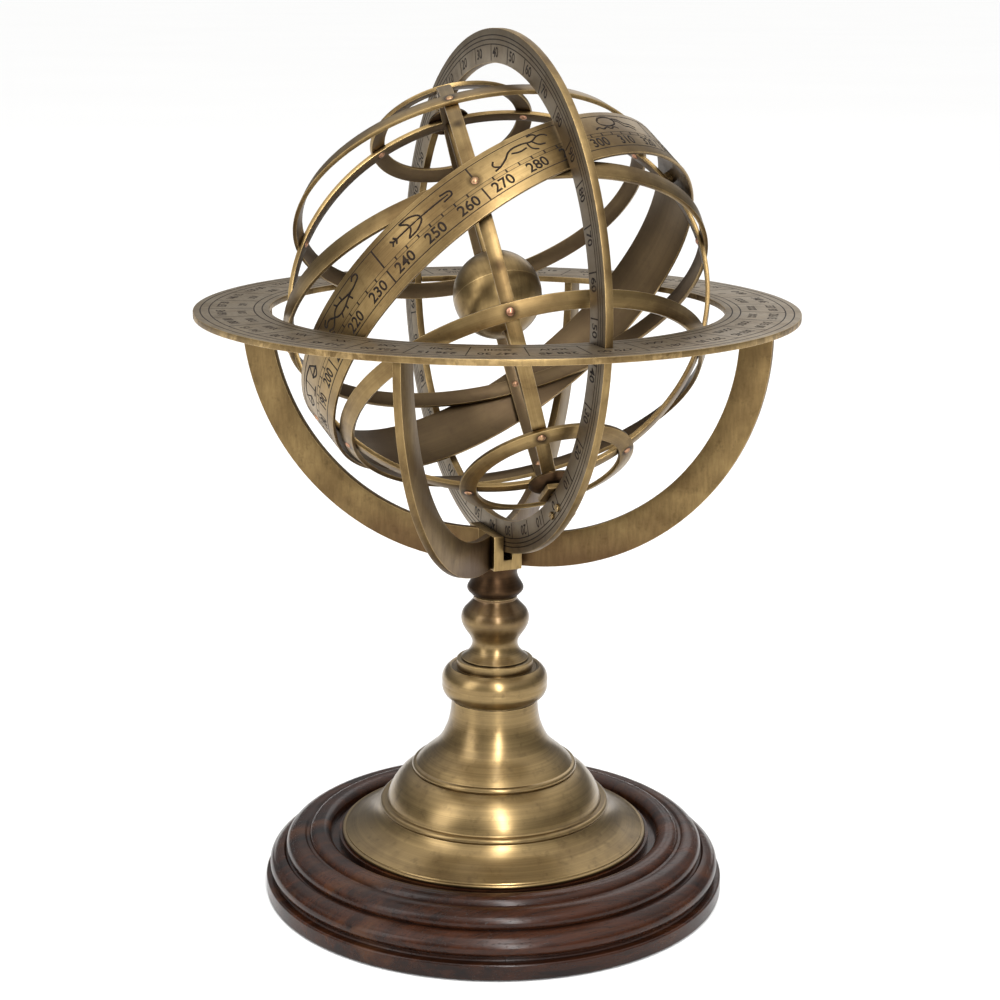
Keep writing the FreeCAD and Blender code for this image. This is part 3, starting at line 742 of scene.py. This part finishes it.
def radial_text(text, size, radius, turn):
    """Flat figures at a radius, with their heads outwards."""
    return text_mesh(text, size, polar(radius, turn), turn - math.pi / 2)


# ------------------------------------------------------------------ operators
class ARMILLARY_OT_metals(bpy.types.Operator):
    """Finish the CAD pieces that keep their shape: base, foot, stem, axis, ball and hidden hardware"""
    bl_idname = "armillary.metals"
    bl_label = "Finish turned pieces"

    def execute(self, context):
        make_materials(context.scene.instrument_colours, context.scene.instrument_sizes)
        for node, piece in frame["nodes"].items():
            piece.data.materials.clear()
            piece.data.materials.append(MATERIALS[SLOT_OF[node]])
        return {"FINISHED"}


def add_hoop(sizes, node, outer, thickness, width, matrix, slot_name="hoop_brass", latitude=0.0):
    """One strap of the cage, in place of its CAD node."""
    hoop = strap_ring(node + "_hoop", sizes.ring_steps, outer, thickness, width, latitude)
    soften_edges(hoop, sizes.edge_round)
    write_strap_uv(hoop, outer, latitude)
    settle(hoop, "cage", slot_name, matrix, stands_for=[node])


class ARMILLARY_OT_hoops(bpy.types.Operator):
    """Make the equator, tropics, polar circles, colures and zodiac band"""
    bl_idname = "armillary.hoops"
    bl_label = "Make hoops"

    def execute(self, context):
        s = context.scene.instrument_sizes
        cage = cage_matrix(s)
        parallels = {
            "equator_ring": (0.0, s.hoop_width),
            "tropic_north": (s.tropic_latitude, s.hoop_width),
            "tropic_south": (-s.tropic_latitude, s.hoop_width),
            "polar_circle_north": (s.polar_latitude, s.polar_width),
            "polar_circle_south": (-s.polar_latitude, s.polar_width),
        }
        for node, (latitude, width) in parallels.items():
            add_hoop(s, node, s.hoop_outer, s.hoop_thickness, width, cage, latitude=latitude)
        for node, longitude in {"colure_front": 0.0, "colure_side": math.pi / 2}.items():
            stand = Matrix.Rotation(longitude, 4, "Z") @ Matrix.Rotation(math.pi / 2, 4, "X")
            add_hoop(s, node, s.colure_outer, s.hoop_thickness, s.colure_width, cage @ stand)
        add_hoop(s, "zodiac_band", s.zodiac_outer, s.zodiac_thickness, s.zodiac_width, zodiac_matrix(s),
                 slot_name="zodiac_brass")
        return {"FINISHED"}


class ARMILLARY_OT_plates(bpy.types.Operator):
    """Make the meridian and horizon rings and soften the arms, cradle and brackets"""
    bl_idname = "armillary.plates"
    bl_label = "Make plate rings and arms"

    def execute(self, context):
        s = context.scene.instrument_sizes
        self.horizon(s)
        self.meridian(s)
        softened = ["arm_front_right", "arm_back_right", "arm_back_left", "arm_front_left", "cradle_hub",
                    "pole_bracket_north", "pole_bracket_south"]
        for node in softened:
            piece = refined_copy(node, s.edge_round)
            settle(piece, BODY_OF[node], SLOT_OF[node], stands_for=[node])
        return {"FINISHED"}

    def horizon(self, s):
        outer = high("horizon_ring", 0)
        top = high("horizon_ring", 2)
        bottom = low("horizon_ring", 2)
        ring = strap_ring("horizon_plate", s.ring_steps, outer, outer - s.plate_ring_inner, top - bottom)
        notch_start = s.plate_ring_inner * 0.97
        reach = s.notch_end - notch_start
        for sign in (1, -1):
            middle = sign * (s.notch_end - reach / 2)
            cut_box(ring, (0, middle, 0), (s.slot_width, reach, 2 * (top - bottom)))
        soften_edges(ring, s.edge_round)
        settle(ring, "stand", "horizon_brass", Matrix.Translation((0, 0, (top + bottom) / 2)),
               stands_for=["horizon_ring"])

    def meridian(self, s):
        outer = high("meridian_ring", 2) - CENTRE.z
        thick = high("meridian_ring", 0) - low("meridian_ring", 0)
        ring = strap_ring("meridian_plate", s.ring_steps, outer, outer - s.plate_ring_inner, thick)
        soften_edges(ring, s.edge_round)
        settle(ring, "meridian", "meridian_brass", meridian_matrix(), stands_for=["meridian_ring"])


class ARMILLARY_OT_horizon_marks(bpy.types.Operator):
    """Engrave the circles, cells and numbers of the horizon ring"""
    bl_idname = "armillary.horizon_marks"
    bl_label = "Engrave horizon"

    def execute(self, context):
        s = context.scene.instrument_sizes
        cells = 32
        notch_cells = (cells // 4, 3 * cells // 4)
        notch_margin = 0.3 * MM
        radii = [134.2 * MM, 130.3 * MM, 110.2 * MM, 106.5 * MM]
        marks = [circle_mesh(r, width=0.55 * MM, steps=4 * s.ring_steps) for r in radii]
        for circle in marks:
            clear_notches(circle, s.slot_width / 2 + notch_margin, s.notch_end)
        for cell in range(cells):
            turn = 2 * math.pi * (cell + 0.5) / cells
            marks.append(spoke(radii[2], radii[1], turn, width=0.5 * MM))
        lines = fill_flat(marks, "horizon_lines", s)
        top = Matrix.Translation((0, 0, high("horizon_ring", 2)))
        settle(lines, "stand", "horizon_brass", top, material="black_fill")
        figures = []
        for cell in range(cells):
            turn = 2 * math.pi * cell / cells
            degrees = 360.0 * cell / cells
            minutes = round((degrees % 1.0) * 60)
            text = "%d %02d" % (degrees, minutes)
            figures.append(radial_text(text, size=5.9 * MM, radius=124.7 * MM, turn=turn))
            if cell not in notch_cells:
                figures.append(radial_text(roman(cell + 1), size=5.2 * MM, radius=115.6 * MM, turn=turn))
        numbers = fill_flat(figures, "horizon_numbers", s)
        settle(numbers, "stand", "horizon_brass", top, material="black_fill")
        return {"FINISHED"}


def roman(value):
    """Roman numeral of a number below 40."""
    units = ("", "I", "II", "III", "IV", "V", "VI", "VII", "VIII", "IX")
    return "X" * (value // 10) + units[value % 10]


class ARMILLARY_OT_meridian_marks(bpy.types.Operator):
    """Engrave both faces of the meridian ring with circles, ticks and degrees"""
    bl_idname = "armillary.meridian_marks"
    bl_label = "Engrave meridian"

    def execute(self, context):
        s = context.scene.instrument_sizes
        labels = list(range(0, 100, 10)) + list(range(80, 0, -10))
        count = 2 * len(labels)
        step = 2 * math.pi / count
        tick_lead = math.radians(2.6)
        tick_start = 104.2 * MM
        circles = (115.4 * MM, 113.5 * MM, 111.4 * MM)
        for face, sign in (("left", -1), ("right", 1)):
            pole_turn = math.atan2(POLE.z, sign * POLE.y)
            marks = [circle_mesh(r, width=0.5 * MM, steps=s.ring_steps) for r in circles]
            figures = []
            for k in range(count):
                turn = pole_turn + sign * step * k
                marks.append(spoke(tick_start, circles[-1], turn - sign * tick_lead, width=0.65 * MM))
                text = str(labels[k % len(labels)])
                figures.append(radial_text(text, size=6.3 * MM, radius=107.7 * MM, turn=turn))
            lines = fill_flat(marks, "meridian_lines_" + face, s)
            numbers = fill_flat(figures, "meridian_numbers_" + face, s)
            matrix = meridian_matrix(sign, high("meridian_ring", 0))
            settle(lines, "meridian", "meridian_brass", matrix, material="black_fill")
            settle(numbers, "meridian", "meridian_brass", matrix, material="black_fill")
        return {"FINISHED"}


# Simple emblems of the twelve parts of the zodiac, as strokes in millimetres.
EMBLEMS = {
    "goat": [
        [(-11, -3), (-8, -1), (-5, 1.6), (0, 2), (4, 1.2), (7, 2.6), (9.5, 2.2), (10.5, 1)],
        [(7, 2.6), (6, 4), (3.5, 4.2)], [(4, 1), (5.5, -1.5), (8, -2.2)],
        [(2, 1), (2.5, -2), (4.5, -3.6)], [(-11, -3), (-13, -1), (-12, 1)], [(-11, -3), (-13.5, -3.6)],
        [(-5, 0), (-2, -1), (1, -0.6)],
    ],
    "urn": [
        [(-6, 3.6), (-3, 4), (0, 3.6)], [(-6, 3.6), (-7.5, 1), (-5, -1), (-1, -1), (1.4, 1), (0, 3.6)],
        [(1, 2), (4, 1.2), (6, -1), (9, -1.4), (12, -3)],
        [(0.6, 3), (4, 2.6), (7, 0.6), (10, 0.2), (13, -1.2)],
        [(-11, -3), (-9, -2), (-7, -3), (-5, -2), (-3, -3), (-1, -2), (1, -3)],
    ],
    "fishes": [
        [(-12, 1), (-9, 3.4), (-5, 3), (-2.5, 1), (-5, -0.6), (-9, -0.6), (-12, 1)],
        [(-2.5, 1), (-0.8, 2.6)], [(-2.5, 1), (-0.8, -0.4)],
        [(12, -1), (9, -3.4), (5, -3), (2.5, -1), (5, 0.6), (9, 0.6), (12, -1)],
        [(2.5, -1), (0.8, -2.6)], [(-12, 1), (-13, -2), (-6, -3.4), (1, 3.4), (10, 3.2), (12, -1)],
    ],
    "ram": [
        [(-10, -0.5), (-7, 2.2), (0, 2.8), (6, 2), (8, 0)],
        [(8, 1), (10, 3.4), (12.8, 2.8), (12.6, 0.4), (10.6, 0.2), (10.8, 1.8)], [(-7, 1), (-8, -3.8)],
        [(-4, 1), (-4, -3.8)], [(3, 1), (3, -3.8)], [(6, 1), (7, -3.8)],
        [(-10, -0.5), (-12, -1), (-11.6, -2.6)],
    ],
    "bull": [
        [(-10, 0), (-7, 2.6), (0, 2.4), (5, 3.4), (8, 1.6), (10, 0), (8.6, -1.4), (6, -0.6)],
        [(8, 2.4), (10, 4.2), (12.4, 3.6)], [(7, 2.8), (8, 4.4)], [(-8, 1), (-9.4, -3.8)],
        [(-5, 0), (-5, -3.8)], [(3, 0), (2, -3.8)], [(5.4, 0), (6.6, -3.8)],
        [(-10, 0), (-12.6, 2), (-12, -2)],
    ],
    "pillars": [
        [(-7, 4), (-3, 3.2), (3, 3.2), (7, 4)], [(-7, -4), (-3, -3.2), (3, -3.2), (7, -4)],
        [(-3, 3.2), (-3, -3.2)], [(3, 3.2), (3, -3.2)], [(-10, 1), (-9, -1)], [(10, 1), (9, -1)],
        [(-12, -1.5), (-11, 1.5)], [(12, -1.5), (11, 1.5)],
    ],
    "crab": [
        [(-4, 0), (-2, 2.4), (2, 2.4), (4, 0), (2, -2), (-2, -2), (-4, 0)],
        [(3.6, 1), (7, 3), (9, 1.6), (7.4, 4)], [(-3.6, 1), (-7, 3), (-9, 1.6), (-7.4, 4)],
        [(3.6, 0), (7, -0.4), (8, -2)], [(-3.6, 0), (-7, -0.4), (-8, -2)],
        [(3, -1.4), (5, -2.4), (5.6, -4)], [(-3, -1.4), (-5, -2.4), (-5.6, -4)],
    ],
    "lion": [
        [(-9, 0), (-6, 2.2), (1, 1.8), (4, 3.6), (7.6, 4), (9.6, 2), (8.4, -0.4), (5, -0.6), (4, 1.6)],
        [(6, 2.6), (7.4, 2.8), (7.6, 1.4)], [(-8, 1), (-9, -3.8)], [(-5, 0), (-4.6, -3.8)],
        [(2, 0), (1.6, -3.8)], [(5, -0.6), (6.6, -3.8)],
        [(-9, 0), (-12, 1), (-12.4, 3.4), (-10.8, 3.8)],
    ],
    "wheat": [
        [(-12, -2), (-4, -0.4), (4, 0), (12, 1.4)], [(2, 0), (4, 2), (6.4, 2.4)],
        [(2, 0), (4, -1.6), (6.4, -1.4)], [(6, 0.4), (8, 2.8), (10.4, 3)],
        [(6, 0.4), (8, -1.2), (10.4, -0.8)], [(-2, -0.2), (0, 1.8), (2.4, 2)],
        [(-2, -0.2), (0, -1.8), (2.4, -1.8)], [(-6, -0.8), (-8, 1.6), (-11, 1.8)],
    ],
    "balance": [
        [(-9, 2.6), (0, 3.4), (9, 2.6)], [(0, 3.4), (0, -3.6)], [(-3, -3.8), (3, -3.8)],
        [(-9, 2.6), (-12, -1)], [(-9, 2.6), (-6, -1)], [(-12.6, -1), (-9, -2.8), (-5.4, -1)],
        [(-12.6, -1), (-5.4, -1)], [(9, 2.6), (12, -1)], [(9, 2.6), (6, -1)],
        [(5.4, -1), (9, -2.8), (12.6, -1)], [(5.4, -1), (12.6, -1)],
    ],
    "scorpion": [
        [(-6, 0), (-4, 1.6), (0, 1.8), (3, 1), (6, 0.4), (9, 1), (11.6, 3), (9.8, 4.2), (8.4, 3)],
        [(-6, 0), (-4, -1.4), (0, -1.6), (3, -0.6), (6, 0.4)],
        [(-6, 0), (-9, 2), (-12, 1.6), (-10, 3.6)], [(-6, 0), (-9, -2), (-12, -1.6), (-10, -3.6)],
        [(-2, 1.8), (-3, 3.8)], [(1, 1.6), (1, 3.6)], [(-2, -1.6), (-3, -3.8)], [(1, -1.2), (1, -3.4)],
        [(4, 0.4), (5, -2.4)],
    ],
    "bow": [
        [(-8, 4), (-3, 3), (-0.6, 0), (-3, -3), (-8, -4)], [(-8, 4), (-5.4, 0), (-8, -4)],
        [(-13, 0), (-4, 0), (11, 0)], [(8.4, 1.8), (12.4, 0), (8.4, -1.8)], [(-13, 0), (-14, 1.4)],
        [(-13, 0), (-14, -1.4)], [(-11.4, 0), (-12.4, 1.6)], [(-11.4, 0), (-12.4, -1.6)],
    ],
}


class ARMILLARY_OT_zodiac_marks(bpy.types.Operator):
    """Engrave the borders, scale, degrees and emblems of the zodiac band"""
    bl_idname = "armillary.zodiac_marks"
    bl_label = "Engrave zodiac"

    upper = 10.2 * MM
    lower = -8.4 * MM
    scale_top = 0.2 * MM
    scale_bottom = -1.5 * MM
    bar = 0.75 * MM

    def execute(self, context):
        s = context.scene.instrument_sizes
        around = 2 * math.pi * s.zodiac_outer
        self.place(s, fill_flat(self.lines(s, around), "zodiac_lines", s))
        self.place(s, fill_flat(self.degrees(around), "zodiac_numbers", s))
        pictures = join(self.emblems(around), "zodiac_emblems")
        flatness = 0.09
        pictures.data.transform(Matrix.Diagonal((1, 1, flatness, 1)))
        self.place(s, pictures)
        return {"FINISHED"}

    def place(self, s, marks):
        """Wrap flat marks round the band."""
        wrap_on_cylinder(marks, s.zodiac_outer)
        settle(marks, "cage", "zodiac_brass", zodiac_matrix(s), material="black_fill")

    def lines(self, s, around):
        """Borders, the scale with its ticks, and the bars between the twelve parts."""
        marks = []
        borders = {self.upper: 0.34 * MM, self.lower: 0.42 * MM, self.scale_top: 0.2 * MM,
                   self.scale_bottom: 0.2 * MM}
        for height, width in borders.items():
            marks.append(line_mesh((-around / 2, height), (around / 2, height), width,
                                   steps=2 * s.ring_steps))
        for sector in range(12):
            x = around * sector / 12
            rivet_edge = s.zodiac_drop + 2.0 * MM
            top_start = rivet_edge if sector % 3 == 0 else self.scale_top
            marks.append(line_mesh((x, top_start), (x, self.upper), self.bar))
            marks.append(line_mesh((x, self.lower), (x, self.scale_bottom), self.bar))
            for tick in range(1, 8):
                at = x + around / 12 * tick / 8
                marks.append(line_mesh((at, self.scale_bottom - 0.1 * MM), (at, self.scale_top + 0.1 * MM),
                                       self.bar))
        return marks

    def degrees(self, around):
        """Numbers every ten degrees, below the scale."""
        figures = []
        middle = (self.lower + self.scale_bottom) / 2
        for number in range(36):
            x = around * (number + 0.5) / 36
            text = str((270 + 10 * number) % 360)
            figures.append(text_mesh(text, size=6.9 * MM, place=(x, middle, 0), turn=0.0))
        return figures

    def emblems(self, around):
        """Strokes of the twelve emblems, above the scale."""
        strokes = []
        middle = 5.3 * MM
        stretch = 1.25
        for sector, emblem in enumerate(EMBLEMS.values()):
            x = around * (sector + 0.5) / 12
            for points in emblem:
                placed = [(x + px * stretch * MM, middle + py * MM) for px, py in points]
                strokes.append(stroke_mesh(placed, width=0.85 * MM))
        return strokes


# Place, width and height, and power of each lamp.
LAMPS = {
    "key strip": ((-0.40, -1.80, 1.15), (0.17, 1.7), 32.0),
    "overhead strip": ((-0.26, -0.95, 2.15), (0.20, 1.5), 16.0),
    "left softbox": ((-1.85, -0.30, 1.05), (0.8, 1.9), 15.0),
    "back softbox": ((1.1, 1.3, 1.1), (0.8, 1.0), 2.5),
}
# Height up the sky and its brightness there.
SKY_STOPS = ((0.0, 0.05), (0.35, 0.22), (0.85, 1.0))
SKY_STRENGTH = 1.55


class ARMILLARY_OT_studio(bpy.types.Operator):
    """Set the floor, the soft lights and the camera"""
    bl_idname = "armillary.studio"
    bl_label = "Set studio"

    def execute(self, context):
        self.floor(context.scene.instrument_colours.floor)
        self.sky()
        for name, (place, size, power) in LAMPS.items():
            self.lamp(name, place, size, power)
        self.camera()
        bpy.context.scene.view_settings.view_transform = "Standard"
        return {"FINISHED"}

    def floor(self, pale):
        deselect()
        bpy.ops.mesh.primitive_circle_add(vertices=64, radius=60.0, fill_type="NGON",
                                          location=(0, 0, -0.2 * MM))
        floor = bpy.context.object
        floor.name = "floor"
        g = Graph("pale floor")
        shade = [0.97 * v for v in pale]
        tone = g.mix(g.noise(g.object_place(), 0.8, 2.0), pale, shade)
        g.shader_values(Specular_IOR_Level=0.1)
        floor.data.materials.append(g.finish(tone, 0.75, metallic=0.0))

    def camera(self):
        data = bpy.data.cameras.new("camera")
        data.lens = 75.92
        data.sensor_width = 36.0
        data.shift_x = 0.0040
        data.clip_end = 200.0
        camera = bpy.data.objects.new("camera", data)
        camera.location = (-0.3665, -0.8805, 0.4266)
        heading = Matrix.Rotation(math.radians(-22.6), 4, "Z")
        tilt = Matrix.Rotation(math.radians(90 - 13.93), 4, "X")
        roll = Matrix.Rotation(math.radians(0.4), 4, "Z")
        camera.rotation_euler = (heading @ tilt @ roll).to_euler()
        bpy.context.scene.collection.objects.link(camera)
        bpy.context.scene.camera = camera

    def lamp(self, name, place, size, power):
        """Rectangular lamp that looks at the middle of the instrument and is not seen itself."""
        data = bpy.data.lights.new(name, "AREA")
        data.shape = "RECTANGLE"
        data.size, data.size_y = size
        data.energy = power
        lamp = bpy.data.objects.new(name, data)
        lamp.location = place
        aim = Vector((0, 0, 0.2)) - Vector(place)
        lamp.rotation_euler = aim.to_track_quat("-Z", "Y").to_euler()
        lamp.visible_camera = False
        bpy.context.scene.collection.objects.link(lamp)

    def sky(self):
        """Sky that grows bright towards its top, but is plain white where the camera sees it."""
        world = bpy.context.scene.world or bpy.data.worlds.new("studio")
        bpy.context.scene.world = world
        world.use_nodes = True
        nodes = world.node_tree.nodes
        link = world.node_tree.links.new
        nodes.clear()
        place = nodes.new("ShaderNodeTexCoord")
        split = nodes.new("ShaderNodeSeparateXYZ")
        ramp = nodes.new("ShaderNodeValToRGB")
        glow = nodes.new("ShaderNodeBackground")
        white = nodes.new("ShaderNodeBackground")
        rays = nodes.new("ShaderNodeLightPath")
        choice = nodes.new("ShaderNodeMixShader")
        out = nodes.new("ShaderNodeOutputWorld")
        stops = ramp.color_ramp.elements
        stops.new(0.35)
        for stop, (height, shade) in zip(stops, SKY_STOPS):
            stop.position = height
            stop.color = (shade, shade, shade, 1)
        glow.inputs["Strength"].default_value = SKY_STRENGTH
        white.inputs["Color"].default_value = (1, 1, 1, 1)
        link(place.outputs["Generated"], split.inputs[0])
        link(split.outputs["Z"], ramp.inputs[0])
        link(ramp.outputs[0], glow.inputs[0])
        link(rays.outputs["Is Camera Ray"], choice.inputs[0])
        link(glow.outputs[0], choice.inputs[1])
        link(white.outputs[0], choice.inputs[2])
        link(choice.outputs[0], out.inputs[0])


class ARMILLARY_PT_panel(bpy.types.Panel):
    """Lists the operators and the sizes and colours that they use"""
    bl_label = "Armillary sphere"
    bl_idname = "ARMILLARY_PT_panel"
    bl_space_type = "VIEW_3D"
    bl_region_type = "UI"
    bl_category = "Armillary"

    def draw(self, context):
        for operator in OPERATORS:
            self.layout.operator(operator.bl_idname)
        for group in (context.scene.instrument_sizes, context.scene.instrument_colours):
            column = self.layout.column()
            for name in group.bl_rna.properties.keys():
                if name not in ("rna_type", "name"):
                    column.prop(group, name)


OPERATORS = (ARMILLARY_OT_metals, ARMILLARY_OT_hoops, ARMILLARY_OT_plates, ARMILLARY_OT_horizon_marks,
             ARMILLARY_OT_meridian_marks, ARMILLARY_OT_zodiac_marks, ARMILLARY_OT_studio)
CLASSES = (InstrumentSizes, InstrumentColours) + OPERATORS + (ARMILLARY_PT_panel,)


def register():
    for cls in CLASSES:
        bpy.utils.register_class(cls)
    bpy.types.Scene.instrument_sizes = PointerProperty(type=InstrumentSizes)
    bpy.types.Scene.instrument_colours = PointerProperty(type=InstrumentColours)


def unregister():
    del bpy.types.Scene.instrument_colours
    del bpy.types.Scene.instrument_sizes
    for cls in reversed(CLASSES):
        bpy.utils.unregister_class(cls)


def main():
    register()
    bpy.ops.armillary.metals()
    bpy.ops.armillary.hoops()
    bpy.ops.armillary.plates()
    bpy.ops.armillary.horizon_marks()
    bpy.ops.armillary.meridian_marks()
    bpy.ops.armillary.zodiac_marks()
    bpy.ops.armillary.studio()


if __name__ == "__main__":
    main()
